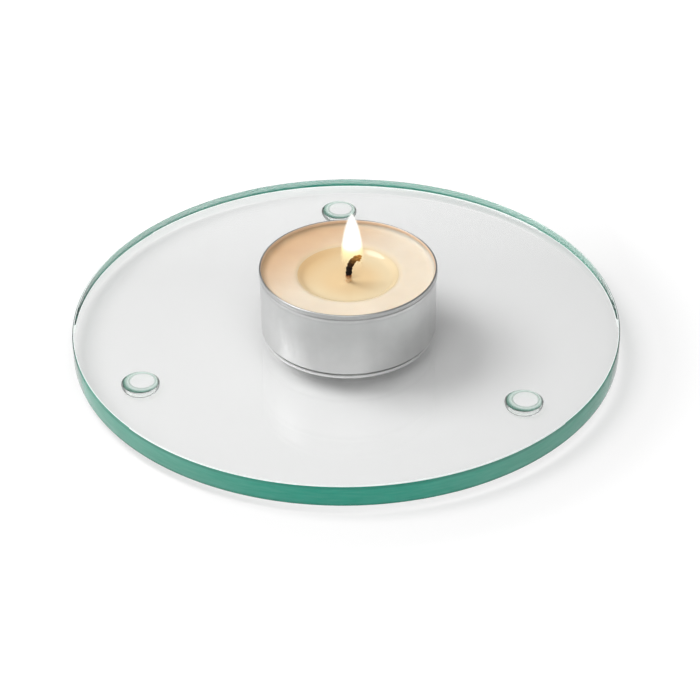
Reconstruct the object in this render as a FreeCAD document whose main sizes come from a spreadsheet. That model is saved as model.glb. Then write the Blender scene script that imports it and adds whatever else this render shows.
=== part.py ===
import FreeCAD, Part
import math
import os
import Sketcher
from FreeCAD import Vector

# Round glass candle plate on three stick-on feet, with a burning tealight standing on it.
# Millimetres. The origin is on the plate's axis, on the surface that the feet stand on.
# +Z is up, +X is the plate's right and -Y its front, as the photograph shows it.

SIZES = {
    # Plate: a disc of clear float glass with a flat polished edge.
    "plate_diameter": 120.0,
    "plate_thickness": 5.0,
    "plate_arris": 0.45,
    # Feet: cast clear polyurethane bumpers, each a dome cut flat where it stands.
    "foot_diameter": 8.2,
    "foot_height": 1.8,
    "foot_land": 0.3,
    "foot_contact_diameter": 5.6,
    # Where each foot was stuck: how far its centre is inside the plate's edge, and its bearing.
    "rear_foot_inset": 10.9,
    "left_foot_inset": 11.6,
    "right_foot_inset": 13.2,
    "rear_foot_bearing": 91.6,
    "left_foot_bearing": 204.5,
    "right_foot_bearing": 322.9,
    # Adhesive: the clear disc that each foot comes with.
    "adhesive_thickness": 0.15,
    "adhesive_inset": 0.25,
    # Where the tealight was set down, from the plate's axis.
    "candle_right": 0.55,
    "candle_front": 4.45,
    # Cup: drawn from aluminium sheet, with its edge rolled outwards into a closed bead.
    "cup_diameter": 38.4,
    "cup_height": 16.5,
    "cup_gauge": 0.2,
    "bead_width": 0.55,
    "bead_height": 1.0,
    "bead_overhang": 0.15,
    "wall_taper": 0.15,
    # Cup base: a stacking step over a foot ring, a raised floor and a well for the wick's plate.
    "step_inset": 0.3,
    "step_rise": 0.25,
    "foot_ring_height": 1.2,
    "foot_ring_width": 1.4,
    "foot_ring_corner": 0.4,
    "floor_rise": 0.8,
    "well_diameter": 13.2,
    "well_depth": 0.4,
    # Wax: a pressed slug, burning, with a pool of melted wax in the hollow round the wick.
    "wax_clearance": 0.15,
    "wax_below_rim": 1.6,
    "wax_bevel": 0.8,
    "wax_edge_round": 0.35,
    "pool_mouth_diameter": 21.7,
    "pool_bank": 1.0,
    "pool_below_wax": 1.3,
    "pool_depth": 4.0,
    # Wick and the tinplate disc whose crimped collar holds it upright.
    "wick_diameter": 1.4,
    "wick_clearance": 0.05,
    "wick_lift": 0.1,
    "wick_upright": 2.5,
    "wick_above_pool": 7.0,
    "wick_sideways": 2.65,
    "wick_forwards": 3.2,
    "sustainer_clearance": 0.35,
    "sustainer_thickness": 0.25,
    "collar_height": 3.0,
    "collar_wall": 0.3,
    "crimp_depth": 0.12,
    "crimp_height": 0.9,
    "crimp_angle": 42.0,
    "crimp_count": 4,
    "cut_overrun": 0.5,
}

# Points that the wick passes once it leans, as shares of its reach sideways and forwards
# and of its rise from there to its top.
WICK_ROUTE_SHARES = (
    (0.08, 0.82, 0.77),
    (0.30, 0.93, 0.91),
    (0.64, 0.99, 1.0),
    (1.0, 1.0, 0.997),
)
# Share of a run of the wick that the arc at its end takes up.
ARC_SHARE = 0.45
FULL_TURN = 360
# Which way an arc turns, seen along its outline.
LEFT = 1
RIGHT = -1
# What a sketch calls its own origin and axes. The axes are numbered down from the first.
ORIGIN_POINT = (-1, 1)
HORIZONTAL_AXIS = -1
VERTICAL_AXIS = HORIZONTAL_AXIS - 1

document = FreeCAD.newDocument("candle_plate")
sheet = document.addObject("Spreadsheet::Sheet", "Sizes")
for row, (alias, value) in enumerate(SIZES.items(), start=1):
    sheet.set(f"A{row}", alias)
    sheet.set(f"B{row}", str(value))
    sheet.setAlias(f"B{row}", alias)
document.recompute()


class Size:
    """A size with its number now and the expression that gives it from the sheet."""

    def __init__(self, number, text):
        self.number = number
        self.text = text

    def __add__(self, other):
        return Size(self.number + other.number, f"({self.text} + {other.text})")

    def __sub__(self, other):
        return Size(self.number - other.number, f"({self.text} - {other.text})")

    def __mul__(self, other):
        return Size(self.number * other.number, f"({self.text} * {other.text})")

    def __truediv__(self, other):
        return Size(self.number / other.number, f"({self.text} / {other.text})")


def size(alias):
    return Size(sheet.get(alias), f"Sizes.{alias}")


def half(whole):
    return Size(whole.number / 2, f"({whole.text} / 2)")


ZERO = Size(0.0, "0")


class Outline:
    """A closed chain of lines and arcs in a sketch, with every corner held by sizes."""

    def __init__(self, sketch, across, up):
        self.sketch = sketch
        self.corners = [(across, up)]
        self.bends = []

    def line_to(self, across, up):
        self.bends.append(None)
        self.corners.append((across, up))

    def arc_to(self, across, up, radius, turn):
        self.bends.append((radius, turn))
        self.corners.append((across, up))

    def close(self):
        self.bends.append(None)
        edges = [self.draw(index) for index in range(len(self.corners))]
        for index, (geometry, start, end) in enumerate(edges):
            before, _, before_end = edges[index - 1]
            self.sketch.addConstraint(
                Sketcher.Constraint("Coincident", before, before_end, geometry, start)
            )
            across, up = self.corners[index]
            self.hold(geometry, start, across, "DistanceX", VERTICAL_AXIS)
            self.hold(geometry, start, up, "DistanceY", HORIZONTAL_AXIS)
            if self.bends[index] is not None:
                radius, _ = self.bends[index]
                self.bind(Sketcher.Constraint("Radius", geometry, radius.number), radius)

    def draw(self, index):
        """Add the edge that leaves a corner; return its number and which end is which."""
        across, up = self.corners[index]
        next_across, next_up = self.corners[(index + 1) % len(self.corners)]
        start = Vector(across.number, up.number, 0)
        end = Vector(next_across.number, next_up.number, 0)
        if self.bends[index] is None:
            return self.sketch.addGeometry(Part.LineSegment(start, end), False), 1, 2
        radius, turn = self.bends[index]
        chord = end - start
        to_left = Vector(-chord.y, chord.x, 0).normalize()
        rise = math.sqrt(max(radius.number**2 - (chord.Length / 2) ** 2, 0))
        centre = (start + end) / 2 + to_left * rise * turn
        first, last = (start, end) if turn == LEFT else (end, start)
        first_angle = math.atan2(first.y - centre.y, first.x - centre.x)
        last_angle = math.atan2(last.y - centre.y, last.x - centre.x)
        circle = Part.Circle(centre, Vector(0, 0, 1), radius.number)
        arc = Part.ArcOfCircle(circle, first_angle, last_angle)
        ends = (1, 2) if turn == LEFT else (2, 1)
        return (self.sketch.addGeometry(arc, False), *ends)

    def hold(self, geometry, point, distance, kind, axis):
        """Keep a corner on an axis, or at its distance from it."""
        if distance is ZERO:
            self.sketch.addConstraint(
                Sketcher.Constraint("PointOnObject", geometry, point, axis)
            )
        else:
            held = Sketcher.Constraint(kind, *ORIGIN_POINT, geometry, point, distance.number)
            self.bind(held, distance)

    def bind(self, constraint, value):
        index = self.sketch.addConstraint(constraint)
        self.sketch.setExpression(f"Constraints[{index}]", value.text)


def new_body(label):
    body = document.addObject("PartDesign::Body", label)
    body.Label = label
    return body


def new_sketch(body, role, name):
    planes = [plane for plane in body.Origin.OriginFeatures if plane.Role == role]
    sketch = body.newObject("Sketcher::SketchObject", name)
    sketch.AttachmentSupport = (planes[0], [""])
    sketch.MapMode = "FlatFace"
    return sketch


def revolve(body, sketch, name):
    turned = body.newObject("PartDesign::Revolution", name)
    turned.Profile = sketch
    turned.ReferenceAxis = (sketch, ["V_Axis"])
    turned.Angle = FULL_TURN
    return turned


def place(thing, right, back, up):
    thing.setExpression("Placement.Base.x", right.text)
    thing.setExpression("Placement.Base.y", back.text)
    thing.setExpression("Placement.Base.z", up.text)


# Levels above the surface that the feet stand on.
glass_underside = size("foot_height") + size("adhesive_thickness")
glass_top = glass_underside + size("plate_thickness")

# Where the cup's axis meets the glass. The cup, wax, pool, wick and sustainer share it.
candle_right = size("candle_right")
candle_back = ZERO - size("candle_front")

# Radii and levels of the cup and what it holds, above the glass.
cup_radius = half(size("cup_diameter"))
gauge = size("cup_gauge")
wall_radius = cup_radius - size("bead_overhang")
bead_inner_radius = cup_radius - size("bead_width")
wall_foot_radius = wall_radius - size("wall_taper")
foot_ring_radius = wall_foot_radius - size("step_inset")
foot_ring_inner_radius = foot_ring_radius - size("foot_ring_width")
floor_top = size("floor_rise") + gauge
well_radius = half(size("well_diameter"))
well_top = floor_top - size("well_depth")
wax_radius = bead_inner_radius - size("wax_clearance")
wax_top = size("cup_height") - size("wax_below_rim")
pool_top = wax_top - size("pool_below_wax")
pool_radius = half(size("pool_mouth_diameter")) - size("pool_bank")
pool_bottom = pool_top - size("pool_depth")
# The bowl under the pool is part of a sphere through the pool's edge and its deepest point.
bowl_radius = half(pool_radius * pool_radius / size("pool_depth") + size("pool_depth"))
wick_radius = half(size("wick_diameter"))
collar_inner_radius = wick_radius + size("wick_clearance")
collar_radius = collar_inner_radius + size("collar_wall")
collar_top = well_top + size("collar_height")


def make_glass_plate():
    """A padded disc with both rims ground off to a narrow arris."""
    body = new_body("glass_plate")
    sketch = new_sketch(body, "XY_Plane", "plate_circle")
    diameter = size("plate_diameter")
    circle = Part.Circle(Vector(0, 0, 0), Vector(0, 0, 1), diameter.number / 2)
    geometry = sketch.addGeometry(circle, False)
    sketch.addConstraint(Sketcher.Constraint("Coincident", geometry, 3, *ORIGIN_POINT))
    held = sketch.addConstraint(Sketcher.Constraint("Diameter", geometry, diameter.number))
    sketch.setExpression(f"Constraints[{held}]", diameter.text)
    pad = body.newObject("PartDesign::Pad", "plate_thickness_pad")
    pad.Profile = sketch
    pad.setExpression("Length", size("plate_thickness").text)
    document.recompute()
    rims = [
        f"Edge{number}"
        for number, edge in enumerate(pad.Shape.Edges, start=1)
        if isinstance(edge.Curve, Part.Circle)
    ]
    arris = body.newObject("PartDesign::Chamfer", "polished_arris")
    arris.Base = (pad, rims)
    arris.setExpression("Size", size("plate_arris").text)
    body.Tip = arris
    place(body, ZERO, ZERO, glass_underside)
    return body


def make_foot(side):
    """A bumper: a straight land under the glass, then a dome down to its flat contact."""
    body = new_body(f"foot_{side}")
    sketch = new_sketch(body, "XZ_Plane", f"foot_{side}_section")
    radius = half(size("foot_diameter"))
    contact_radius = half(size("foot_contact_diameter"))
    dome_top = size("foot_height") - size("foot_land")
    inset = radius - contact_radius
    # The dome leaves the land upright, so its centre is level with the land's lower edge.
    dome_radius = half(inset + dome_top * dome_top / inset)
    outline = Outline(sketch, ZERO, ZERO)
    outline.line_to(contact_radius, ZERO)
    outline.arc_to(radius, dome_top, dome_radius, LEFT)
    outline.line_to(radius, size("foot_height"))
    outline.line_to(ZERO, size("foot_height"))
    outline.close()
    revolve(body, sketch, f"foot_{side}_dome")
    place_at_foot(body, side, ZERO)
    return body


def make_adhesive(side):
    """The adhesive disc between a foot's flat back and the glass."""
    disc = document.addObject("Part::Cylinder", f"foot_adhesive_{side}")
    disc.Label = f"foot_adhesive_{side}"
    disc.setExpression("Radius", (half(size("foot_diameter")) - size("adhesive_inset")).text)
    disc.setExpression("Height", size("adhesive_thickness").text)
    place_at_foot(disc, side, size("foot_height"))
    return disc


def place_at_foot(thing, side, up):
    """Each foot has a place of its own, because the feet are stuck on by hand."""
    reach = half(size("plate_diameter")) - size(f"{side}_foot_inset")
    bearing = size(f"{side}_foot_bearing")
    angle = math.radians(bearing.number)
    right = reach * Size(math.cos(angle), f"cos({bearing.text} * 1 deg)")
    back = reach * Size(math.sin(angle), f"sin({bearing.text} * 1 deg)")
    place(thing, right, back, up)


def make_tealight_cup():
    """One revolved section of drawn sheet: well, raised floor, foot ring, step, wall and bead."""
    body = new_body("tealight_cup")
    sketch = new_sketch(body, "XZ_Plane", "cup_section")
    corner = size("foot_ring_corner")
    foot_ring_height = size("foot_ring_height")
    step_top = foot_ring_height + size("step_rise")
    overhang = size("bead_overhang")
    height = size("cup_height")
    bead_round = half(size("bead_width"))
    bead_bottom = height - size("bead_height")
    well_wall_radius = well_radius + gauge
    well_underside = well_top - gauge
    floor_underside = size("floor_rise")
    # Underside, from the axis out to the foot ring.
    outline = Outline(sketch, ZERO, well_underside)
    outline.line_to(well_wall_radius, well_underside)
    outline.line_to(well_wall_radius, floor_underside)
    outline.line_to(foot_ring_inner_radius, floor_underside)
    outline.line_to(foot_ring_inner_radius, corner)
    outline.arc_to(foot_ring_inner_radius + corner, ZERO, corner, LEFT)
    outline.line_to(foot_ring_radius - corner, ZERO)
    outline.arc_to(foot_ring_radius, corner, corner, LEFT)
    # Outside, up the step and the tapered wall to the bead.
    outline.line_to(foot_ring_radius, foot_ring_height)
    outline.line_to(wall_foot_radius, step_top)
    outline.line_to(wall_radius, bead_bottom)
    outline.arc_to(cup_radius, bead_bottom + overhang, overhang, LEFT)
    outline.line_to(cup_radius, height - bead_round)
    outline.arc_to(cup_radius - bead_round, height, bead_round, LEFT)
    outline.arc_to(bead_inner_radius, height - bead_round, bead_round, LEFT)
    # Inside, down the wall to the channel over the foot ring and in to the well.
    outline.line_to(bead_inner_radius, bead_bottom + overhang)
    outline.line_to(wall_radius - gauge, bead_bottom)
    outline.line_to(wall_foot_radius - gauge, step_top)
    outline.line_to(foot_ring_radius - gauge, foot_ring_height)
    outline.line_to(foot_ring_radius - gauge, corner)
    outline.arc_to(foot_ring_radius - corner, gauge, corner - gauge, RIGHT)
    outline.line_to(foot_ring_inner_radius + gauge, gauge)
    outline.line_to(foot_ring_inner_radius + gauge, floor_top)
    outline.line_to(well_radius, floor_top)
    outline.line_to(well_radius, well_top)
    outline.line_to(ZERO, well_top)
    outline.close()
    revolve(body, sketch, "drawn_cup")
    place(body, candle_right, candle_back, glass_top)
    return body


def make_wax(bore):
    """The slug: bevelled foot, recess for the collar, ring of solid wax round the pool's bowl."""
    slug = new_body("wax_slug")
    sketch = new_sketch(slug, "XZ_Plane", "wax_section")
    bevel = size("wax_bevel")
    edge_round = size("wax_edge_round")
    recess_radius = collar_radius + size("wax_clearance")
    recess_top = collar_top + size("wax_clearance")
    outline = Outline(sketch, recess_radius, floor_top)
    outline.line_to(wax_radius - bevel, floor_top)
    outline.line_to(wax_radius, floor_top + bevel)
    outline.line_to(wax_radius, wax_top - edge_round)
    outline.arc_to(wax_radius - edge_round, wax_top, edge_round, LEFT)
    outline.line_to(half(size("pool_mouth_diameter")), wax_top)
    outline.line_to(pool_radius, pool_top)
    outline.arc_to(ZERO, pool_bottom, bowl_radius, RIGHT)
    outline.line_to(ZERO, recess_top)
    outline.line_to(recess_radius, recess_top)
    outline.close()
    revolve(slug, sketch, "pressed_slug")
    return pierce(slug, bore, "wax")


def make_wax_pool(bore):
    """The melted wax that fills the bowl up to its level surface."""
    bowl = new_body("pool_bowl")
    sketch = new_sketch(bowl, "XZ_Plane", "pool_section")
    outline = Outline(sketch, ZERO, pool_bottom)
    outline.arc_to(pool_radius, pool_top, bowl_radius, LEFT)
    outline.line_to(ZERO, pool_top)
    outline.close()
    revolve(bowl, sketch, "level_pool")
    return pierce(bowl, bore, "wax_pool")


def pierce(solid, bore, label):
    """Cut the wick's way through a piece of wax and stand the result in the cup."""
    pierced = document.addObject("Part::Cut", label)
    pierced.Label = label
    pierced.Base = solid
    pierced.Tool = bore
    place(pierced, candle_right, candle_back, glass_top)
    return pierced


def rounded_route(points):
    """Straight runs from point to point, joined by arcs tangent to both."""
    edges = []
    leave = points[0]
    for before, corner, after in zip(points, points[1:], points[2:]):
        arriving = corner - before
        leaving = after - corner
        shorter = min(arriving.Length, leaving.Length)
        turn = arriving.getAngle(leaving)
        trim = shorter * ARC_SHARE
        radius = trim / math.tan(turn / 2)
        print(f"wick bend of {math.degrees(turn):.0f} degrees, radius {radius:.2f} mm")
        arriving.normalize()
        leaving.normalize()
        arc_start = corner - arriving * trim
        arc_end = corner + leaving * trim
        to_centre = (leaving - arriving).normalize() * (radius / math.cos(turn / 2))
        arc_middle = corner + to_centre - to_centre.normalize() * radius
        edges.append(Part.LineSegment(leave, arc_start).toShape())
        edges.append(Part.Arc(arc_start, arc_middle, arc_end).toShape())
        leave = arc_end
    edges.append(Part.LineSegment(leave, points[-1]).toShape())
    return Part.Wire(edges)


def wick_tube(radius):
    """A round tube along the wick: up through the collar, leaning forwards, then bent over."""
    foot = well_top + size("wick_lift")
    lean_start = collar_top + size("wick_upright")
    rise = pool_top + size("wick_above_pool") - lean_start
    points = [Vector(0, 0, foot.number), Vector(0, 0, lean_start.number)]
    for sideways_share, forwards_share, rise_share in WICK_ROUTE_SHARES:
        points.append(
            Vector(
                size("wick_sideways").number * sideways_share,
                -size("wick_forwards").number * forwards_share,
                lean_start.number + rise.number * rise_share,
            )
        )
    route = rounded_route(points)
    section = Part.Wire(Part.Circle(points[0], Vector(0, 0, 1), radius).toShape())
    tube = route.makePipeShell([section], True, False)
    expected = math.pi * radius**2 * route.Length
    print(f"wick tube: {tube.Volume:.3f} cubic mm, section times length {expected:.3f}")
    return tube


def make_wick():
    """A cotton wick. Its bend lies in no one plane, so it is swept along edges in space."""
    wick = document.addObject("Part::Feature", "wick")
    wick.Label = "wick"
    wick.Shape = wick_tube(wick_radius.number)
    place(wick, candle_right, candle_back, glass_top)
    return wick


def make_wick_bore():
    """The wick's way through the wax, wider than the wick by its clearance."""
    bore = document.addObject("Part::Feature", "wick_bore")
    bore.Shape = wick_tube(collar_inner_radius.number)
    return bore


def make_wick_sustainer():
    """A tinplate disc with a drawn collar, crimped inwards on the wick at even places."""
    body = new_body("wick_sustainer")
    sketch = new_sketch(body, "XZ_Plane", "sustainer_section")
    disc_radius = well_radius - size("sustainer_clearance")
    thickness = size("sustainer_thickness")
    height = size("collar_height")
    flare = size("collar_wall")
    outline = Outline(sketch, collar_inner_radius, ZERO)
    outline.line_to(disc_radius, ZERO)
    outline.line_to(disc_radius, thickness)
    outline.line_to(collar_radius + flare, thickness)
    outline.arc_to(collar_radius, thickness + flare, flare, RIGHT)
    outline.line_to(collar_radius, height)
    outline.line_to(collar_inner_radius, height)
    outline.close()
    revolve(body, sketch, "disc_and_collar")
    document.recompute()
    plain_volume = body.Shape.Volume
    crimp_sketch = new_sketch(body, "XZ_Plane", "crimp_section")
    crimp_top = height - size("crimp_depth")
    crimp_bottom = crimp_top - size("crimp_height")
    crimp_floor = collar_radius - size("crimp_depth")
    crimp_mouth = collar_radius + size("cut_overrun")
    crimp_outline = Outline(crimp_sketch, crimp_floor, crimp_bottom)
    crimp_outline.line_to(crimp_mouth, crimp_bottom)
    crimp_outline.line_to(crimp_mouth, crimp_top)
    crimp_outline.line_to(crimp_floor, crimp_top)
    crimp_outline.close()
    crimp = body.newObject("PartDesign::Groove", "crimp")
    crimp.Profile = crimp_sketch
    crimp.ReferenceAxis = (crimp_sketch, ["V_Axis"])
    crimp.setExpression("Angle", size("crimp_angle").text)
    document.recompute()
    if not body.Shape.Volume < plain_volume:
        raise RuntimeError("the crimp cuts nothing from the collar")
    ring = body.newObject("PartDesign::PolarPattern", "crimps")
    ring.Originals = [crimp]
    ring.Axis = (crimp_sketch, ["V_Axis"])
    ring.Angle = FULL_TURN
    ring.setExpression("Occurrences", size("crimp_count").text)
    body.Tip = ring
    place(body, candle_right, candle_back, glass_top + well_top)
    return body


wick_bore = make_wick_bore()
subparts = [make_glass_plate()]
for side in ("rear", "left", "right"):
    subparts.append(make_foot(side))
    subparts.append(make_adhesive(side))
subparts.append(make_tealight_cup())
subparts.append(make_wax(wick_bore))
subparts.append(make_wax_pool(wick_bore))
subparts.append(make_wick())
subparts.append(make_wick_sustainer())
document.recompute()

for thing in document.Objects:
    if "Invalid" in thing.State or "Error" in thing.State:
        raise RuntimeError(f"{thing.Label} didn't build: {thing.State}")
for subpart in subparts:
    if subpart.Shape.isNull() or not subpart.Shape.isValid():
        raise RuntimeError(f"{subpart.Label} has no valid shape")

os.makedirs("parts", exist_ok=True)
for subpart in subparts:
    subpart.Shape.exportStep(f"parts/{subpart.Label}.step")
    box = subpart.Shape.BoundBox
    print(
        f"{subpart.Label}: {len(subpart.Shape.Solids)} solid, {subpart.Shape.Volume:.2f} cubic mm,"
        f" z {box.ZMin:.3f} to {box.ZMax:.3f}, {box.XLength:.2f} x {box.YLength:.2f}"
    )
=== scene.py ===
import math

import bpy
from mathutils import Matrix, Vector


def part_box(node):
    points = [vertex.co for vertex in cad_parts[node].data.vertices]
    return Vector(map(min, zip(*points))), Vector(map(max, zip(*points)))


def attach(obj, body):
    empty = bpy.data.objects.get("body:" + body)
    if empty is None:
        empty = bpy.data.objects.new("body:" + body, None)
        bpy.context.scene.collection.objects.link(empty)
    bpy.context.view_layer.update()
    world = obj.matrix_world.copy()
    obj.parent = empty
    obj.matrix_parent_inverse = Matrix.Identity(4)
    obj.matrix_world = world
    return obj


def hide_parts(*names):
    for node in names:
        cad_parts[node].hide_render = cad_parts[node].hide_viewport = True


# Round glass candle plate with a burning tealight on it. Metres, +Z up, -Y the plate's front.
MM = 0.001
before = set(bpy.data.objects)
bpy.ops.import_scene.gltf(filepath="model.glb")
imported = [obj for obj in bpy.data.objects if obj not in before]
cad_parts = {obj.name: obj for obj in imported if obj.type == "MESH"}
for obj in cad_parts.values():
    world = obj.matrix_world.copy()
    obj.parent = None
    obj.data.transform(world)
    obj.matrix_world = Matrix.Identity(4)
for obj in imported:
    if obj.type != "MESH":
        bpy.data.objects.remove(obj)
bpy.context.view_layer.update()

# Feet: three round bumpers, stuck under the plate by hand at uneven places.
# Each is cast from clear polyurethane, with a straight land and a dome cut flat where it stands.
SIDES = ("rear", "left", "right")
FOOT_RADIUS = 4.1 * MM
FOOT_CONTACT_RADIUS = 2.8 * MM
FOOT_DOME_HEIGHT = 1.5 * MM
FOOT_TOP = 1.78 * MM
FOOT_CONTACT_ROUND = 0.15 * MM
FOOT_LAND_ROUND = 0.08 * MM
FOOT_ABOVE_TABLE = 0.01 * MM
FOOT_STEPS = 96
DOME_POINTS = 14
SAME_PLACE = 0.004 * MM
MERGE_GAP = 0.002 * MM
FACES_UP = 0.9
URETHANE_IOR = 1.4
DOME_IOR = 1.25
FOOT_CLEAR = (1.0, 1.0, 1.0, 1.0)
FOOT_DOME_PAINTED_GREEN = (0.94, 0.98, 0.96, 1.0)
FOOT_SHADOW = (0.98, 0.98, 0.98, 1.0)
FOOT_DOME_SHADOW = (0.92, 0.94, 0.93, 1.0)


def draw_section(name, points):
    """Draw a half section in the XZ plane, from one point to the next."""
    bpy.ops.object.select_all(action="DESELECT")
    bpy.ops.mesh.primitive_plane_add(size=MM, location=(0, 0, 0))
    piece = bpy.context.object
    piece.name = name
    piece.data.name = name
    bpy.ops.object.mode_set(mode="EDIT")
    bpy.ops.mesh.select_mode(type="VERT")
    bpy.ops.mesh.select_all(action="SELECT")
    bpy.ops.mesh.merge(type="CENTER")
    bpy.ops.transform.translate(value=(points[0][0], 0, points[0][1]))
    for (radius, height), (next_radius, next_height) in zip(points, points[1:]):
        step = (next_radius - radius, 0, next_height - height)
        bpy.ops.mesh.extrude_vertices_move(TRANSFORM_OT_translate={"value": step})
    bpy.ops.object.mode_set(mode="OBJECT")
    return piece


def pick(piece, wanted, what="vertices"):
    """Select what a piece's test wants, and leave the piece in edit mode."""
    modes = {"vertices": "VERT", "edges": "EDGE", "polygons": "FACE"}
    bpy.ops.object.mode_set(mode="EDIT")
    bpy.ops.mesh.select_mode(type=modes[what])
    bpy.ops.mesh.select_all(action="DESELECT")
    bpy.ops.object.mode_set(mode="OBJECT")
    corners = piece.data.vertices
    for part in getattr(piece.data, what):
        if what == "vertices":
            part.select = wanted(part.co)
        elif what == "edges":
            part.select = all(wanted(corners[index].co) for index in part.vertices)
        else:
            part.select = wanted(part.center)
    bpy.ops.object.mode_set(mode="EDIT")


def round_corners(piece, places, offset, segments=4):
    """Round the corners of a drawn section that lie at these places."""

    def at_a_place(co):
        return any(math.hypot(co.x - r, co.z - h) < SAME_PLACE for r, h in places)

    pick(piece, at_a_place)
    bpy.ops.mesh.bevel(affect="VERTICES", offset=offset, segments=segments, profile=0.5)
    bpy.ops.object.mode_set(mode="OBJECT")


def spin_section(piece, steps):
    """Spin a drawn section round the Z axis and close its seam and poles."""
    bpy.ops.object.mode_set(mode="EDIT")
    bpy.ops.mesh.select_all(action="SELECT")
    bpy.ops.mesh.spin(steps=steps, angle=math.tau, center=(0, 0, 0), axis=(0, 0, 1))
    bpy.ops.mesh.select_all(action="SELECT")
    bpy.ops.mesh.remove_doubles(threshold=MERGE_GAP)
    bpy.ops.mesh.normals_make_consistent(inside=False)
    bpy.ops.object.mode_set(mode="OBJECT")


def settle(piece, place, smooth_angle=30):
    """Move a finished mesh to its place and leave its object at the origin."""
    bpy.ops.object.select_all(action="DESELECT")
    piece.select_set(True)
    bpy.context.view_layer.objects.active = piece
    piece.location = place
    bpy.ops.object.transform_apply(location=True, rotation=True, scale=True)
    bpy.ops.object.shade_smooth_by_angle(angle=math.radians(smooth_angle))


def coat(piece, *finishes):
    """Give a piece its materials, in the order of its slots."""
    for finish in finishes:
        piece.data.materials.append(finish.material)


class Finish:
    """A material whose nodes are added and wired one at a time."""

    def __init__(self, name):
        self.material = bpy.data.materials.new(name)
        self.material.use_nodes = True
        self.tree = self.material.node_tree
        self.shader = self.tree.nodes["Principled BSDF"]
        self.place = self.tree.nodes.new("ShaderNodeTexCoord").outputs["Object"]

    def feed(self, made, inputs):
        """Give a node its inputs; each is a value, or the output that feeds it."""
        for socket, value in inputs.items():
            if isinstance(value, bpy.types.NodeSocket):
                self.tree.links.new(value, made.inputs[socket])
            else:
                made.inputs[socket].default_value = value

    def node(self, kind, inputs, **settings):
        """Add a node with its settings and inputs."""
        made = self.tree.nodes.new("ShaderNode" + kind)
        for setting, value in settings.items():
            setattr(made, setting, value)
        self.feed(made, inputs)
        return made

    def set(self, **inputs):
        """Set the shader's own sockets, named with underscores for spaces."""
        self.feed(self.shader, {name.replace("_", " "): value for name, value in inputs.items()})

    def noise(self, scale, detail=4.0, stretch=(1, 1, 1), centre=(0, 0, 0)):
        """Noise on the piece itself, stretched along its axes."""
        mapped = self.node(
            "Mapping", {"Vector": self.place, "Location": centre, "Scale": stretch}
        ).outputs["Vector"]
        return self.node(
            "TexNoise", {"Vector": mapped, "Scale": scale, "Detail": detail}
        ).outputs["Fac"]

    def along(self, axis):
        """How far along X, Y or Z each point lies."""
        return self.node("SeparateXYZ", {"Vector": self.place}).outputs[axis]

    def towards(self, direction):
        """How far each point lies in a direction, from the origin."""
        return self.node(
            "VectorMath", {0: self.place, 1: direction}, operation="DOT_PRODUCT"
        ).outputs["Value"]

    def away_from(self, middle, level=False):
        """How far each point lies from a middle; level leaves heights out."""
        place = self.place
        if level:
            place = self.node(
                "VectorMath", {0: place, 1: (1, 1, 0)}, operation="MULTIPLY"
            ).outputs["Vector"]
            middle = (middle[0], middle[1], 0)
        return self.node("VectorMath", {0: place, 1: middle}, operation="DISTANCE").outputs["Value"]

    def share(self, value, start, end, low=0.0, high=1.0, smooth=False):
        """A share that goes from low to high as the value goes from start to end."""
        return self.node(
            "MapRange",
            {"Value": value, "From Min": start, "From Max": end, "To Min": low, "To Max": high},
            interpolation_type="SMOOTHSTEP" if smooth else "LINEAR",
        ).outputs["Result"]

    def ramp(self, factor, *stops):
        """Colours or greys along a factor; each stop is a place and a colour."""
        made = self.node("ValToRGB", {"Fac": factor})
        elements = made.color_ramp.elements
        while len(elements) < len(stops):
            elements.new(1.0)
        for element, (place, colour) in zip(elements, stops):
            element.position = place
            element.color = colour
        return made.outputs["Color"]

    def mix(self, factor, first, second, blend="MIX"):
        """A blend of two colours."""
        return self.node(
            "Mix", {0: factor, 6: first, 7: second}, data_type="RGBA", blend_type=blend
        ).outputs[2]

    def math(self, operation, first, second=0.0):
        """A sum on one or two numbers."""
        return self.node("Math", {0: first, 1: second}, operation=operation).outputs[0]

    def let_light_through(self, colour):
        """Let lamp light and bounced light cross clear glass, tinted as in the real piece."""
        ray = self.node("LightPath", {}).outputs
        straight = self.node("BsdfTransparent", {"Color": colour}).outputs["BSDF"]
        light = self.math("MAXIMUM", ray["Is Shadow Ray"], ray["Is Diffuse Ray"])
        either = self.node("MixShader", {0: light, 1: self.shader.outputs["BSDF"], 2: straight})
        self.feed(self.tree.nodes["Material Output"], {"Surface": either.outputs["Shader"]})

    def bump(self, height, distance, strength):
        """Fine relief on the surface."""
        made = self.node("Bump", {"Height": height, "Distance": distance, "Strength": strength})
        self.set(Normal=made.outputs["Normal"])


def grey(level):
    return (level, level, level, 1.0)


urethane = Finish("cast_urethane")
urethane.set(
    Base_Color=FOOT_CLEAR,
    Transmission_Weight=1.0,
    IOR=URETHANE_IOR,
    Roughness=urethane.ramp(urethane.noise(900, detail=3), (0.45, grey(0.0)), (0.8, grey(0.06))),
)
urethane.let_light_through(FOOT_SHADOW)
urethane_dome = Finish("cast_urethane_dome")
urethane_dome.set(
    Base_Color=FOOT_DOME_PAINTED_GREEN,
    Transmission_Weight=1.0,
    IOR=DOME_IOR,
    Roughness=urethane_dome.ramp(
        urethane_dome.noise(900, detail=3), (0.4, grey(0.05)), (0.8, grey(0.15))
    ),
)
urethane_dome.let_light_through(FOOT_DOME_SHADOW)

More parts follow.
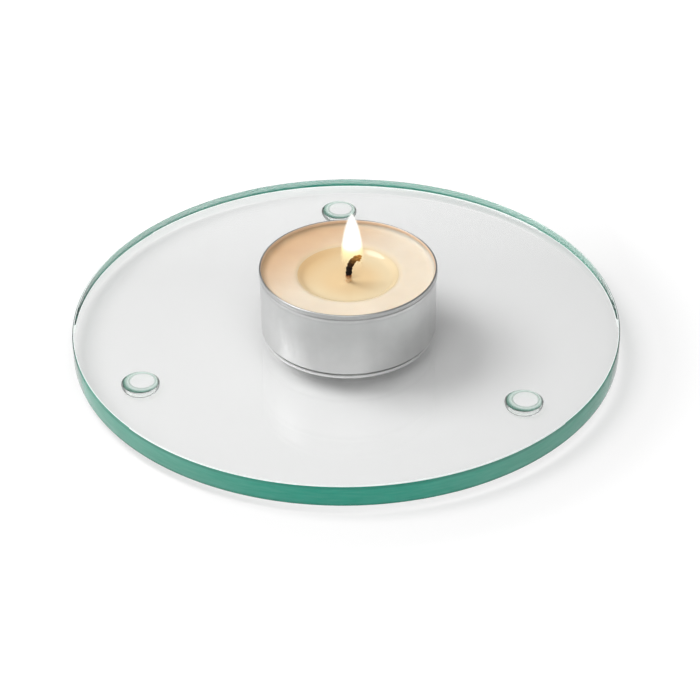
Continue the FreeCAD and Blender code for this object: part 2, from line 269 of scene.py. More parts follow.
dome_inset = FOOT_RADIUS - FOOT_CONTACT_RADIUS
dome_radius = (dome_inset + FOOT_DOME_HEIGHT**2 / dome_inset) / 2
dome_centre = FOOT_RADIUS - dome_radius
contact_angle = math.asin(FOOT_DOME_HEIGHT / dome_radius)
foot_section = [(0, 0)]
for step in range(DOME_POINTS + 1):
    angle = contact_angle * (1 - step / DOME_POINTS)
    foot_section.append(
        (
            dome_centre + dome_radius * math.cos(angle),
            FOOT_DOME_HEIGHT - dome_radius * math.sin(angle),
        )
    )
foot_section += [(FOOT_RADIUS, FOOT_TOP), (0, FOOT_TOP)]
for side in SIDES:
    low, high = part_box(f"foot_{side}")
    middle = Vector(((low.x + high.x) / 2, (low.y + high.y) / 2))
    foot = draw_section(f"bumper_{side}", foot_section)
    round_corners(foot, [(FOOT_CONTACT_RADIUS, 0)], FOOT_CONTACT_ROUND)
    round_corners(foot, [(FOOT_RADIUS, FOOT_TOP)], FOOT_LAND_ROUND)
    spin_section(foot, FOOT_STEPS)
    settle(foot, (middle.x, middle.y, low.z + FOOT_ABOVE_TABLE))
    coat(foot, urethane, urethane_dome)
    # The dome is painted a faint green, a painted reflection of the plate's green edge; the back
    # and the contact patch are clear.
    for face in foot.data.polygons:
        if (face.center.to_2d() - middle).length > FOOT_CONTACT_RADIUS:
            face.material_index = 0 if face.normal.z > FACES_UP else 1
    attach(foot, "plate")
    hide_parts(f"foot_{side}")

# Adhesive: the clear acrylic disc on each bumper's back, a little smaller than the bumper.
# It is die-cut from transfer tape. A green crescent round a bright middle is painted on it, a
# painted reflection of the plate's green in the bumper's dome, and the middle has a faint painted
# glow.
ADHESIVE_IOR = 1.47
ADHESIVE_CLEAR_OFFSET = Vector((0.35 * MM, 0.5 * MM, 0))
ADHESIVE_CLEAR_RADIUS = 2 * MM
ADHESIVE_GREEN_RADIUS = 4.5 * MM
ADHESIVE_SHADOW = (0.99, 0.99, 0.99, 1.0)

adhesive = Finish("transfer_adhesive")
from_foot = 1.0
for side in SIDES:
    low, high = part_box(f"foot_adhesive_{side}")
    middle = (Vector(low) + Vector(high)) / 2 + ADHESIVE_CLEAR_OFFSET
    from_foot = adhesive.math("MINIMUM", adhesive.away_from(tuple(middle)), from_foot)
across_painted_crescent = adhesive.share(from_foot, ADHESIVE_CLEAR_RADIUS, ADHESIVE_GREEN_RADIUS)
adhesive.set(
    Base_Color=adhesive.ramp(
        across_painted_crescent,
        (0.22, grey(1.0)),
        (0.32, (0.62, 0.76, 0.7, 1)),
        (0.46, (0.82, 0.92, 0.88, 1)),
        (0.62, (0.62, 0.82, 0.74, 1)),
        (0.78, (0.2, 0.42, 0.34, 1)),
        (0.95, (0.1, 0.26, 0.2, 1)),
    ),
    # Painted glow in the bright middle.
    Emission_Color=adhesive.ramp(
        across_painted_crescent,
        (0.18, grey(0.09)),
        (0.3, grey(0.02)),
        (0.45, grey(0.08)),
        (0.6, grey(0.0)),
    ),
    Emission_Strength=1.0,
    Transmission_Weight=1.0,
    IOR=ADHESIVE_IOR,
    Roughness=adhesive.ramp(adhesive.noise(1500, detail=2), (0.5, grey(0.0)), (0.75, grey(0.12))),
)
adhesive.let_light_through(ADHESIVE_SHADOW)
for side in SIDES:
    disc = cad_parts[f"foot_adhesive_{side}"]
    disc.data.materials.clear()
    coat(disc, adhesive)

# Plate: a round disc cut from 5 mm float glass, its edge ground and polished flat.
# Iron in the glass makes the edge green, where light comes out that has crossed the disc.
PLATE_RADIUS = 60 * MM
PLATE_UNDERSIDE = 1.97 * MM
PLATE_TOP = 6.95 * MM
PLATE_ARRIS = 0.4 * MM
PLATE_FACE_INSET = 0.3 * MM
LEVEL_GAP = 0.01 * MM
PLATE_STEPS = 384
ARRIS_OUTSIDE = 0.14 * MM
ARRIS_OUTSIDE_AT_SIDES = 0.25 * MM
SIDES_BEYOND = 45 * MM
GLASS_IOR = 1.52
GLASS_CLEAR = (0.965, 0.97, 0.965, 1.0)
GLASS_SHADOW = (0.97, 0.97, 0.97, 1.0)
EDGE_DEEP = (0.03, 0.56, 0.39, 1.0)
EDGE_PALE = (0.07, 0.64, 0.47, 1.0)
EDGE_SIDE_DEEP = (0.19, 0.66, 0.49, 1.0)
EDGE_SIDE_PALE = (0.25, 0.74, 0.58, 1.0)
EDGE_END = (0.07, 0.14, 0.12, 1.0)
EDGE_SHADOW = (0.6, 0.62, 0.61, 1.0)
ARRIS_DEEP = (0.8, 0.9, 0.86, 1.0)
ARRIS_PALE = (0.88, 0.94, 0.92, 1.0)
ARRIS_SHADOW = (0.6, 0.61, 0.6, 1.0)

bpy.ops.object.select_all(action="DESELECT")
bpy.ops.mesh.primitive_cylinder_add(
    vertices=PLATE_STEPS,
    radius=PLATE_RADIUS,
    depth=PLATE_TOP - PLATE_UNDERSIDE,
    location=(0, 0, (PLATE_TOP + PLATE_UNDERSIDE) / 2),
)
plate = bpy.context.object
plate.name = "glass_disc"
bpy.ops.object.transform_apply(location=True, rotation=True, scale=True)
for level in (PLATE_UNDERSIDE, PLATE_TOP):
    pick(plate, lambda co: abs(co.z - level) < LEVEL_GAP, "edges")
    bpy.ops.mesh.bevel(offset=PLATE_ARRIS, segments=4, profile=0.5, affect="EDGES")
    bpy.ops.object.mode_set(mode="OBJECT")
    pick(plate, lambda co: abs(co.z - level) < LEVEL_GAP, "polygons")
    bpy.ops.mesh.inset(thickness=PLATE_FACE_INSET)
    bpy.ops.object.mode_set(mode="OBJECT")
settle(plate, (0, 0, 0))

clear_glass = Finish("clear_float_glass")
clear_glass.set(
    Base_Color=GLASS_CLEAR,
    Transmission_Weight=1.0,
    IOR=GLASS_IOR,
    Roughness=clear_glass.ramp(
        clear_glass.noise(60, detail=6), (0.5, grey(0.0)), (0.9, grey(0.03))
    ),
)
clear_glass.let_light_through(GLASS_SHADOW)

edge_glass = Finish("green_glass_edge")
polish_lines = edge_glass.noise(220, detail=5, stretch=(1, 1, 9))
# Painted light on the band: paler towards the left and right, and painted shade where it turns away
# at the far left and right.
sideways = edge_glass.math("ABSOLUTE", edge_glass.along("X"))
band_colour = edge_glass.mix(
    edge_glass.share(sideways, 5 * MM, 45 * MM, smooth=True),
    edge_glass.ramp(polish_lines, (0.3, EDGE_DEEP), (0.75, EDGE_PALE)),
    edge_glass.ramp(polish_lines, (0.3, EDGE_SIDE_DEEP), (0.75, EDGE_SIDE_PALE)),
)
band_colour = edge_glass.mix(
    edge_glass.share(sideways, 55.5 * MM, 59.5 * MM), band_colour, EDGE_END
)
# Painted shade: dark lines along the band's top and bottom.
painted_shade_lines = edge_glass.ramp(
    edge_glass.share(
        edge_glass.along("Z"), PLATE_UNDERSIDE + PLATE_ARRIS, PLATE_TOP - PLATE_ARRIS
    ),
    (0.0, grey(0.7)),
    (0.04, grey(0.75)),
    (0.1, grey(1.0)),
    (0.9, grey(1.0)),
    (0.96, grey(0.8)),
    (1.0, grey(0.75)),
)
edge_glass.set(
    Base_Color=edge_glass.mix(1.0, band_colour, painted_shade_lines, "MULTIPLY"),
    Transmission_Weight=0.35,
    IOR=GLASS_IOR,
    Specular_IOR_Level=0.25,
    Roughness=edge_glass.ramp(polish_lines, (0.3, grey(0.06)), (0.8, grey(0.2))),
)
edge_glass.let_light_through(EDGE_SHADOW)

arris_glass = Finish("ground_arris")
arris_glass.set(
    Base_Color=arris_glass.ramp(
        arris_glass.noise(900, detail=3), (0.3, ARRIS_DEEP), (0.7, ARRIS_PALE)
    ),
    Transmission_Weight=0.45,
    IOR=GLASS_IOR,
    Roughness=0.35,
    # The emission is a painted highlight along the arris.
    Emission_Color=arris_glass.ramp(
        arris_glass.noise(300, detail=2), (0.3, grey(0.22)), (0.7, grey(0.34))
    ),
    Emission_Strength=1.0,
)
arris_glass.let_light_through(ARRIS_SHADOW)

coat(plate, clear_glass, edge_glass, arris_glass)
for face in plate.data.polygons:
    # At the left and right, more of the arris takes the edge's colour, which draws a painted dark
    # outline there.
    at_sides = abs(face.center.x) > SIDES_BEYOND
    arris_outside = ARRIS_OUTSIDE_AT_SIDES if at_sides else ARRIS_OUTSIDE
    from_axis = math.hypot(face.center.x, face.center.y)
    if from_axis > PLATE_RADIUS - arris_outside:
        face.material_index = 1
    elif from_axis > PLATE_RADIUS - PLATE_ARRIS:
        face.material_index = 2
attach(plate, "plate")
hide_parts("glass_plate")

# Cup: drawn from thin aluminium sheet in one piece, with a stacking step and a foot ring.
# Its trimmed edge is rolled outwards into a bead, and drawing leaves faint upright marks.
SHEET = 0.2 * MM
CUP_HEIGHT = 16.5 * MM
CUP_RADIUS = 19 * MM
BEAD_CENTRE = 18.925 * MM
BEAD_RADIUS = 0.175 * MM
BEAD_POINTS = 8
CUP_STEPS = 256
INNER_WALL_BROWN = (0.78, 0.58, 0.42, 1.0)
cup_low, cup_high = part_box("tealight_cup")
cup_place = Vector(((cup_low.x + cup_high.x) / 2, (cup_low.y + cup_high.y) / 2, cup_low.z))

# Middle of the sheet from the centre of the well out and up to the rolled edge.
cup_section = [
    (0, 0.5 * MM),
    (6.7 * MM, 0.5 * MM),
    (6.7 * MM, 0.9 * MM),
    (17.3 * MM, 0.9 * MM),
    (17.3 * MM, 0.1 * MM),
    (18.5 * MM, 0.1 * MM),
    (18.5 * MM, 0.9 * MM),
    (18.05 * MM, 1.2 * MM),
    (18.82 * MM, 1.5 * MM),
    (18.93 * MM, CUP_HEIGHT - 1.9 * MM),
    (18.8 * MM, CUP_HEIGHT - 1.4 * MM),
    (18.75 * MM, CUP_HEIGHT - 1.1 * MM),
]
well_corners = cup_section[1:3]
foot_ring_corners = cup_section[3:6]
step_corners = cup_section[6:9]
neck_corners = cup_section[9:11]
for step in range(BEAD_POINTS + 1):
    angle = math.pi * (1 - step / BEAD_POINTS)
    cup_section.append(
        (
            BEAD_CENTRE + BEAD_RADIUS * math.cos(angle),
            CUP_HEIGHT - SHEET / 2 - BEAD_RADIUS + BEAD_RADIUS * math.sin(angle),
        )
    )
cup_section += [
    (19.1 * MM, CUP_HEIGHT - 1.05 * MM),
    (18.97 * MM, CUP_HEIGHT - 1.2 * MM),
]
cup = draw_section("drawn_cup", cup_section)
round_corners(cup, well_corners, 0.15 * MM, 3)
round_corners(cup, foot_ring_corners, 0.3 * MM, 4)
round_corners(cup, step_corners, 0.06 * MM, 2)
round_corners(cup, neck_corners, 0.15 * MM, 3)
spin_section(cup, CUP_STEPS)
thicken = cup.modifiers.new("sheet", "SOLIDIFY")
thicken.thickness = SHEET
thicken.offset = 0
bpy.context.view_layer.objects.active = cup
bpy.ops.object.modifier_apply(modifier="sheet")
settle(cup, cup_place, smooth_angle=40)

aluminium = Finish("drawn_aluminium")
draw_marks = aluminium.noise(420, detail=3, stretch=(1, 1, 0.05))
mottle = aluminium.noise(140, detail=4, centre=(0.3, 0.1, 0))
up_the_cup = aluminium.share(aluminium.along("Z"), cup_place.z, cup_place.z + CUP_HEIGHT)
# Painted light by height: a painted highlight on the foot ring, and painted shade in the crease
# over it and in the one under the bead.
painted_light_by_height = aluminium.ramp(
    up_the_cup,
    (0.05, grey(0.95)),
    (0.065, grey(0.45)),
    (0.085, grey(0.45)),
    (0.1, grey(0.78)),
    (0.85, grey(0.76)),
    (0.905, grey(0.66)),
    (0.92, grey(0.45)),
    (0.94, grey(0.45)),
    (0.952, grey(0.62)),
)
# Painted highlight: the sheet is painted brighter on the left and right than at the front.
painted_side_highlight = aluminium.ramp(
    aluminium.share(aluminium.along("X"), cup_place.x - CUP_RADIUS, cup_place.x + CUP_RADIUS),
    (0.05, grey(1.0)),
    (0.3, grey(0.86)),
    (0.5, grey(0.78)),
    (0.62, grey(0.82)),
    (0.85, grey(0.94)),
)
# Near its top, the inside of the wall is matte and wax-brown instead of bare metal.
from_cup_axis = aluminium.away_from(cup_place, level=True)
bare = aluminium.math(
    "MAXIMUM",
    aluminium.share(from_cup_axis, 18.74 * MM, 18.82 * MM),
    aluminium.ramp(up_the_cup, (0.6, grey(1.0)), (0.8, grey(0.0))),
)
sheet_colour = aluminium.mix(
    1.0,
    aluminium.mix(1.0, painted_light_by_height, painted_side_highlight, "MULTIPLY"),
    aluminium.ramp(mottle, (0.3, grey(0.9)), (0.7, grey(1.0))),
    "MULTIPLY",
)
aluminium.set(
    Metallic=bare,
    Base_Color=aluminium.mix(bare, INNER_WALL_BROWN, sheet_colour),
    Roughness=aluminium.ramp(draw_marks, (0.3, grey(0.32)), (0.75, grey(0.42))),
)
coat(cup, aluminium)
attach(cup, "tealight")
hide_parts("tealight_cup")

# Wick's plate: a tinplate disc with a drawn collar, crimped on the wick, in the cup's well.
# Rolling leaves fine lines in the tin, all one way.
tinplate = Finish("rolled_tinplate")
rolling_lines = tinplate.noise(900, detail=4, stretch=(0.08, 1, 1))
tinplate.set(
    Metallic=1.0,
    Base_Color=tinplate.ramp(rolling_lines, (0.3, grey(0.55)), (0.7, grey(0.68))),
    Roughness=tinplate.ramp(rolling_lines, (0.3, grey(0.2)), (0.7, grey(0.34))),
)
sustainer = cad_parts["wick_sustainer"]
sustainer.data.materials.clear()
coat(sustainer, tinplate)

# Wick: braided cotton, upright in its collar, leaning forwards and bent over where it burns.
# It is soaked pale with wax at the pool, charred black above and glowing at its tip.
WICK_RADIUS = 0.7 * MM
WICK_RESOLUTION = 16
STRAND_RADIUS = 0.27 * MM
STRAND_DEPTH = 1.25
STRAND_SWAY = 0.35
STRANDS_EACH_WAY = 4
BRAID_PITCH = 4.6 * MM
# Right, back and up in millimetres, from the middle of the cup's base.
WICK_ROUTE = [
    (0, 0, 0.7),
    (0, 0, 3.5),
    (0, 0, 6.1),
    (0.02, -0.75, 9.8),
    (0.07, -1.89, 13.57),
    (0.12, -2.32, 15.9),
    (0.19, -2.6, 17.3),
    (0.42, -2.8, 18.5),
    (0.85, -2.98, 19.5),
    (1.5, -3.14, 20.35),
    (2.1, -3.22, 20.75),
    (2.65, -3.2, 20.45),
]
WICK_AT_POOL = Vector((0.07 * MM, -1.89 * MM))
COTTON_BLACK = (0.01, 0.007, 0.008, 1.0)
COTTON_PALE = (0.86, 0.78, 0.62, 1.0)

curve = bpy.data.curves.new("wick_line", "CURVE")
curve.dimensions = "3D"
spline = curve.splines.new("NURBS")
spline.points.add(len(WICK_ROUTE) - 1)
for point, (right, back, up) in zip(spline.points, WICK_ROUTE):
    point.co = (right * MM, back * MM, up * MM, 1)
spline.order_u = 3
spline.use_endpoint_u = True
spline.resolution_u = WICK_RESOLUTION
line_object = bpy.data.objects.new("wick_line", curve)
bpy.context.scene.collection.objects.link(line_object)
line_mesh = bpy.data.meshes.new_from_object(line_object)
wick_line = [vertex.co.copy() for vertex in line_mesh.vertices]
bpy.data.objects.remove(line_object)
bpy.data.meshes.remove(line_mesh)

reach = [0.0]
for before, after in zip(wick_line, wick_line[1:]):
    reach.append(reach[-1] + (after - before).length)
wick_length = reach[-1]
# Half of the strands turn one way round the wick and half the other, over and under.
side_way = Vector((1, 0, 0))
strand_paths = [[] for _ in range(2 * STRANDS_EACH_WAY)]
for index, point in enumerate(wick_line):
    ahead = wick_line[min(index + 1, len(wick_line) - 1)]
    behind = wick_line[max(index - 1, 0)]
    along = (ahead - behind).normalized()
    side_way = (side_way - along * side_way.dot(along)).normalized()
    other_way = along.cross(side_way)
    for number, path in enumerate(strand_paths):
        turning = 1 if number < STRANDS_EACH_WAY else -1
        phase = math.tau * (number % STRANDS_EACH_WAY) / STRANDS_EACH_WAY
        turned = turning * math.tau * reach[index] / BRAID_PITCH
        over = math.cos(STRANDS_EACH_WAY * math.tau * reach[index] / BRAID_PITCH + phase * 2)
        out = WICK_RADIUS - STRAND_RADIUS * (STRAND_DEPTH - STRAND_SWAY * turning * over)
        around = phase + turned
        path.append(
            point + (side_way * math.cos(around) + other_way * math.sin(around)) * out
        )
strands = []
for number, path in enumerate(strand_paths):
    strand_curve = bpy.data.curves.new(f"strand_{number}", "CURVE")
    strand_curve.dimensions = "3D"
    strand_curve.bevel_depth = STRAND_RADIUS
    strand_curve.bevel_resolution = 3
    strand_curve.use_fill_caps = True
    strand_spline = strand_curve.splines.new("POLY")
    strand_spline.points.add(len(path) - 1)
    for point, place in zip(strand_spline.points, path):
        point.co = (*place, 1)
    strand = bpy.data.objects.new(f"strand_{number}", strand_curve)
    bpy.context.scene.collection.objects.link(strand)
    strands.append(strand)
bpy.ops.object.select_all(action="DESELECT")
for strand in strands:
    strand.select_set(True)
bpy.context.view_layer.objects.active = strands[0]
bpy.ops.object.convert(target="MESH")
bpy.ops.object.join()
wick = bpy.context.object
wick.name = "braided_wick"
# How far along the wick each point lies, which sets how burnt it is.
burnt = wick.data.attributes.new("along_wick", "FLOAT", "POINT")
for vertex in wick.data.vertices:
    nearest = min(range(len(wick_line)), key=lambda i: (wick_line[i] - vertex.co).length_squared)
    burnt.data[vertex.index].value = reach[nearest] / wick_length
settle(wick, cup_place, smooth_angle=60)

cotton = Finish("burnt_cotton")
along_wick = cotton.node(
    "Attribute", {}, attribute_name="along_wick", attribute_type="GEOMETRY"
).outputs["Fac"]
fibres = cotton.noise(2500, detail=4)
ragged = cotton.math("ADD", along_wick, cotton.math("MULTIPLY", fibres, 0.03))
cotton.set(
    Base_Color=cotton.ramp(
        ragged,
        (0.0, COTTON_PALE),
        (0.68, (0.80, 0.60, 0.38, 1)),
        (0.73, (0.42, 0.19, 0.08, 1)),
        (0.75, COTTON_BLACK),
        (0.84, (0.012, 0.008, 0.008, 1)),
        (0.9, (0.06, 0.025, 0.006, 1)),
        (1.0, (0.34, 0.17, 0.04, 1)),
    ),
    Roughness=cotton.ramp(fibres, (0.3, grey(0.65)), (0.7, grey(0.9))),
    Specular_IOR_Level=0.15,
    Emission_Color=cotton.ramp(
        ragged,
        (0.9, grey(0.0)),
        (0.97, (0.06, 0.025, 0.005, 1)),
        (1.0, (0.2, 0.08, 0.015, 1)),
    ),
    Emission_Strength=0.6,
)
cotton.bump(fibres, distance=0.05 * MM, strength=0.6)
coat(wick, cotton)
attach(wick, "candle")
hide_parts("wick")

# Wax: a slug pressed from candle wax, loose in its cup, with a bowl melted into its top.
# It is painted darker and more peach towards the left rear, a painted warm shade, and it wets the
# wall of the cup.
WAX_RADIUS = 18.6 * MM
WAX_TOP = 14.9 * MM
WAX_STEPS = 256
WAX_IOR = 1.44
POOL_SURFACE = 13.6 * MM
POOL_RADIUS = 9.2 * MM
POOL_DEPTH = 4.0 * MM
BOWL_POINTS = 16
FILM = 0.02 * MM
WHITE_DEEP = (0.83, 0.73, 0.59, 1.0)
WHITE_PALE = (0.88, 0.78, 0.64, 1.0)
PEACH_DEEP = (0.72, 0.48, 0.29, 1.0)
PEACH_PALE = (0.78, 0.54, 0.33, 1.0)
SOFT_WAX = (0.81, 0.66, 0.44, 1.0)
# Soft bank from the wax's top down to the melted wax.
BANK = [
    (12.4 * MM, 14.9 * MM),
    (11.8 * MM, 14.86 * MM),
    (11.2 * MM, 14.72 * MM),
    (10.7 * MM, 14.46 * MM),
    (10.3 * MM, 14.16 * MM),
    (9.95 * MM, 13.9 * MM),
    (9.6 * MM, 13.7 * MM),
    (9.35 * MM, 13.62 * MM),
]

bowl_radius = (POOL_RADIUS**2 / POOL_DEPTH + POOL_DEPTH) / 2
bowl_centre = POOL_SURFACE - POOL_DEPTH + bowl_radius
bowl_angle = math.asin(POOL_RADIUS / bowl_radius)
bowl_arc = []
for step in range(1, BOWL_POINTS + 1):
    angle = bowl_angle * (1 - step / BOWL_POINTS)
    bowl_arc.append((bowl_radius * math.sin(angle), bowl_centre - bowl_radius * math.cos(angle)))
wax_section = [
    (0, 3.75 * MM),
    (1.2 * MM, 3.75 * MM),
    (1.2 * MM, 1.0 * MM),
    (WAX_RADIUS - 0.8 * MM, 1.0 * MM),
    (WAX_RADIUS, 1.8 * MM),
    (WAX_RADIUS, 14.2 * MM),
    (18.76 * MM, 14.6 * MM),
    (18.69 * MM, 15.95 * MM),
    (18.6 * MM, 15.68 * MM),
    (18.42 * MM, 15.4 * MM),
    (18.1 * MM, 15.15 * MM),
    (17.6 * MM, 14.97 * MM),
    (17.0 * MM, WAX_TOP),
    *BANK,
    (POOL_RADIUS, POOL_SURFACE - FILM),
    *bowl_arc,
]
wax = draw_section("wax_slug", wax_section)
spin_section(wax, WAX_STEPS)
settle(wax, cup_place)

candle_wax = Finish("pressed_candle_wax")
cloud = candle_wax.noise(160, detail=3)
from_wax_middle = candle_wax.away_from((cup_place.x, cup_place.y, cup_place.z + WAX_TOP))
softened = candle_wax.share(from_wax_middle, 10.2 * MM, 12.2 * MM, smooth=True)
# Painted warm shade towards the left rear.
painted_shade_to_left_rear = candle_wax.share(
    candle_wax.towards((-0.7, 0.71, 0)), -6 * MM, 15 * MM, smooth=True
)
firm_wax = candle_wax.mix(
    painted_shade_to_left_rear,
    candle_wax.ramp(cloud, (0.3, WHITE_DEEP), (0.7, WHITE_PALE)),
    candle_wax.ramp(cloud, (0.3, PEACH_DEEP), (0.7, PEACH_PALE)),
)
candle_wax.set(
    Base_Color=candle_wax.mix(softened, SOFT_WAX, firm_wax),
    Roughness=candle_wax.ramp(cloud, (0.3, grey(0.4)), (0.7, grey(0.55))),
    Subsurface_Weight=0.6,
    Subsurface_Radius=(1.0, 0.85, 0.7),
    Subsurface_Scale=2 * MM,
    IOR=WAX_IOR,
)
candle_wax.bump(candle_wax.noise(500, detail=5), distance=0.05 * MM, strength=0.25)
coat(wax, candle_wax)
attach(wax, "candle")
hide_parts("wax")

# Pool: the wax that has melted, clear yellow and level. A film of it creeps up the bank,
# and up the wick.
BANK_FILM = 0.015 * MM
POOL_SHARES = (
    0.83, 0.75, 0.65, 0.55, 0.45, 0.38, 0.32, 0.28, 0.24, 0.2, 0.16, 0.12, 0.08, 0.04, 0,
)
POOL_STEPS = 192
CREEP_HEIGHT = 0.35 * MM
CREEP_WIDTH = 0.45 * MM
POOL_MIDDLE = (0.77, 0.59, 0.35, 1.0)
POOL_LEFT = (0.76, 0.53, 0.28, 1.0)
SHALLOW_DEEP = (0.79, 0.65, 0.42, 1.0)
SHALLOW_PALE = (0.83, 0.7, 0.47, 1.0)

pool_section = [(0, POOL_SURFACE - POOL_DEPTH)]
pool_section += [(r, h + FILM) for r, h in reversed(bowl_arc[:-1])]
pool_section += [(r, h + BANK_FILM) for r, h in reversed(BANK[3:])]
pool_section += [
    (10.95 * MM, 14.58 * MM),
    (10.7 * MM, 14.5 * MM),
    (10.3 * MM, 14.25 * MM),
    (9.95 * MM, 14.0 * MM),
    (9.6 * MM, 13.81 * MM),
    (9.3 * MM, 13.7 * MM),
    (9.0 * MM, 13.64 * MM),
    (8.7 * MM, 13.61 * MM),
    (8.4 * MM, POOL_SURFACE),
]
pool_section += [(POOL_RADIUS * share, POOL_SURFACE) for share in POOL_SHARES]
pool = draw_section("melted_pool", pool_section)
spin_section(pool, POOL_STEPS)
for vertex in pool.data.vertices:
    if vertex.co.z > POOL_SURFACE - LEVEL_GAP:
        gap = (vertex.co.to_2d() - WICK_AT_POOL).length - WICK_RADIUS
        vertex.co.z += CREEP_HEIGHT * math.exp(-max(gap, 0) / CREEP_WIDTH)
settle(pool, cup_place, smooth_angle=60)

melted_wax = Finish("melted_candle_wax")
# Painted warm shade towards the left rear, as on the wax.
painted_pool_shade_to_left = melted_wax.share(
    melted_wax.towards((-0.8, 0.6, 0)), -2 * MM, 8 * MM, smooth=True
)
from_pool_middle = melted_wax.away_from((cup_place.x, cup_place.y, cup_place.z + POOL_SURFACE))
shallow = melted_wax.share(from_pool_middle, 4 * MM, 9 * MM, smooth=True)
shallow_colour = melted_wax.mix(
    painted_pool_shade_to_left,
    melted_wax.ramp(melted_wax.noise(120, detail=2), (0.3, SHALLOW_DEEP), (0.7, SHALLOW_PALE)),
    POOL_LEFT,
)
melted_wax.set(
    Base_Color=melted_wax.mix(shallow, POOL_MIDDLE, shallow_colour),
    Roughness=0.05,
    IOR=WAX_IOR,
)
coat(pool, melted_wax)
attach(pool, "candle")
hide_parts("wax_pool")

# Flame: white hot gas in a narrow drop over the bent wick, yellow and clear at its foot.
# It burns from the wick's tip, so it moves with the candle; its lamp lights the wax.
FLAME_STEPS = 64
FLAME_LEAST_RADIUS = 0.06
FLAME_LAMP_ENERGY = 0.0011
FLAME_LAMP_COLOUR = (1.0, 0.7, 0.42)
FLAME_LAMP_SIZE = 3 * MM
# Radius and height in millimetres, from the foot to the tip.
FLAME_PROFILE = [
    (0.0, 15.6), (0.9, 15.75), (1.55, 16.2), (1.95, 17.0), (2.2, 18.0), (2.33, 19.2),
    (2.36, 20.4), (2.33, 21.5), (2.22, 22.7), (2.07, 24.0), (1.9, 25.2), (1.72, 26.3),
    (1.48, 27.5), (1.2, 28.7), (0.86, 29.8), (0.5, 30.7), (0.2, 31.3), (0.0, 31.6),
]
# How far each shell lies outside the profile, in millimetres, and how well it covers.
FLAME_SHELLS = ((0.18, 0.2), (-0.06, 0.5), (-0.32, 0.92))
# What share of that distance each point of a shell is raised by.
FLAME_RISE = [0] + [0.3] * (len(FLAME_PROFILE) - 2) + [1]
flame_place = cup_place + Vector((0.88 * MM, -0.5 * MM, -1.61 * MM))

for shell, (spread, cover) in enumerate(FLAME_SHELLS):
    flame = draw_section(
        f"flame_{shell}",
        [
            (
                max(radius + spread, FLAME_LEAST_RADIUS) * MM if radius else 0,
                (height + spread * rise) * MM,
            )
            for (radius, height), rise in zip(FLAME_PROFILE, FLAME_RISE)
        ],
    )
    spin_section(flame, FLAME_STEPS)
    settle(flame, flame_place, smooth_angle=80)
    glow = Finish(f"flame_glow_{shell}")
    up_the_flame = glow.share(
        glow.along("Z"), flame_place.z + 18 * MM, flame_place.z + 24 * MM
    )
    cleared = glow.ramp(
        up_the_flame,
        (0.0, grey(0.0)),
        (0.25, grey(0.1)),
        (0.4, grey(0.3)),
        (0.55, grey(0.65)),
        (0.7, grey(0.9)),
        (0.85, grey(1.0)),
    )
    glow.set(
        Base_Color=grey(0.0),
        Roughness=1.0,
        Specular_IOR_Level=0.0,
        Emission_Color=glow.ramp(
            up_the_flame,
            (0.0, (0.9, 0.65, 0.38, 1)),
            (0.3, (0.85, 0.64, 0.36, 1)),
            (0.5, (0.82, 0.68, 0.38, 1)),
            (0.78, (0.88, 0.78, 0.42, 1)),
            (0.88, (0.95, 0.93, 0.56, 1)),
            (1.0, (1.0, 1.0, 0.95, 1)),
        ),
        Emission_Strength=1.3,
        Alpha=glow.math("MULTIPLY", cleared, cover),
    )
    coat(flame, glow)
    # Hot gas casts no shadow.
    flame.visible_shadow = False
    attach(flame, "candle")
flame_lamp_data = bpy.data.lights.new("flame_lamp", "POINT")
flame_lamp_data.energy = FLAME_LAMP_ENERGY
flame_lamp_data.color = FLAME_LAMP_COLOUR
flame_lamp_data.shadow_soft_size = FLAME_LAMP_SIZE
flame_lamp = bpy.data.objects.new("flame_lamp", flame_lamp_data)
bpy.context.scene.collection.objects.link(flame_lamp)
flame_lamp.location = flame_place + Vector((0, -1 * MM, 27 * MM))
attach(flame_lamp, "candle")

# Studio: a plain pale floor that is white to the camera, to glass and to metal, and a pale
# sky that is white to the camera. Two soft boxes hang over it, at the left and in front.
FLOOR_RADIUS = 3.0
SKY_LEVEL = 0.21
LAMPS_FACE = Vector((0, 0, 0.01))

bpy.ops.object.select_all(action="DESELECT")
bpy.ops.mesh.primitive_circle_add(vertices=96, radius=FLOOR_RADIUS, fill_type="NGON")
floor = bpy.context.object
floor.name = "studio_floor"
floor_paint = Finish("floor_paint")
ray = floor_paint.node("LightPath", {}).outputs
seen = floor_paint.math(
    "MAXIMUM",
    floor_paint.math("MAXIMUM", ray["Is Camera Ray"], ray["Is Glossy Ray"]),
    ray["Is Transmission Ray"],
)
# The floor's glow to the camera, glass and metal is painted light: faint near the plate, stronger
# further out and behind it.
lit_around = floor_paint.ramp(
    floor_paint.away_from((0, 0, 0)),
    (0.07, grey(0.02)),
    (0.12, grey(0.5)),
    (0.3, grey(0.5)),
    (0.8, grey(1.0)),
)
lit_behind = floor_paint.share(floor_paint.along("Y"), 0.025, 0.06, low=0.02, high=0.15)
lit = floor_paint.math("MAXIMUM", lit_around, lit_behind)
floor_paint.set(
    Base_Color=floor_paint.mix(seen, grey(0.8), grey(1.0)),
    Roughness=1.0,
    Specular_IOR_Level=0.0,
    Emission_Color=floor_paint.mix(seen, grey(0.0), lit),
    Emission_Strength=1.0,
)
coat(floor, floor_paint)

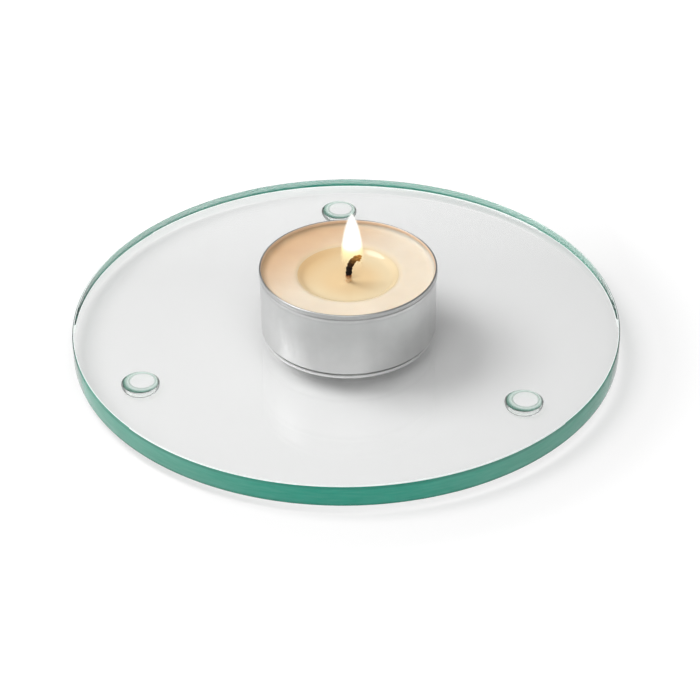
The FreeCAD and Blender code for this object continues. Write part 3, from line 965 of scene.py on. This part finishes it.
world = bpy.data.worlds.new("studio_sky")
bpy.context.scene.world = world
world.use_nodes = True
sky = world.node_tree
sky_ray = sky.nodes.new("ShaderNodeLightPath")
sky_light = sky.nodes["Background"]
sky_white = sky.nodes.new("ShaderNodeBackground")
for background, strength in ((sky_light, SKY_LEVEL), (sky_white, 1.0)):
    background.inputs["Color"].default_value = grey(1.0)
    background.inputs["Strength"].default_value = strength
sky_mix = sky.nodes.new("ShaderNodeMixShader")
sky.links.new(sky_ray.outputs["Is Camera Ray"], sky_mix.inputs[0])
sky.links.new(sky_light.outputs[0], sky_mix.inputs[1])
sky.links.new(sky_white.outputs[0], sky_mix.inputs[2])
sky.links.new(sky_mix.outputs[0], sky.nodes["World Output"].inputs["Surface"])


def hang_lamp(name, place, size, energy):
    """Hang a square soft box that faces the candle."""
    data = bpy.data.lights.new(name, "AREA")
    data.size = size
    data.energy = energy
    lamp = bpy.data.objects.new(name, data)
    bpy.context.scene.collection.objects.link(lamp)
    lamp.location = place
    lamp.rotation_euler = (LAMPS_FACE - Vector(place)).to_track_quat("-Z", "Y").to_euler()


hang_lamp("key_soft_box", place=(-0.44, 0.05, 0.66), size=0.42, energy=3.6)
hang_lamp("front_soft_box", place=(0, -0.42, 0.8), size=0.62, energy=3.3)

# Camera: a long lens above the front, as the photograph was taken.
# Its place and turn were fitted to the outlines of the plate and the cup.
CAMERA_SENSOR = 36
CAMERA_LENS = 123.43
CAMERA_PLACE = (0, -0.43699, 0.30256)
CAMERA_TURN = (55.1647, 0.4632, -0.4271)
CAMERA_NEAREST = 0.01

camera_data = bpy.data.cameras.new("camera")
camera_data.sensor_width = CAMERA_SENSOR
camera_data.lens = CAMERA_LENS
camera_data.clip_start = CAMERA_NEAREST
camera = bpy.data.objects.new("camera", camera_data)
bpy.context.scene.collection.objects.link(camera)
camera.location = CAMERA_PLACE
camera.rotation_euler = [math.radians(angle) for angle in CAMERA_TURN]
bpy.context.scene.camera = camera
bpy.context.scene.view_settings.view_transform = "Standard"
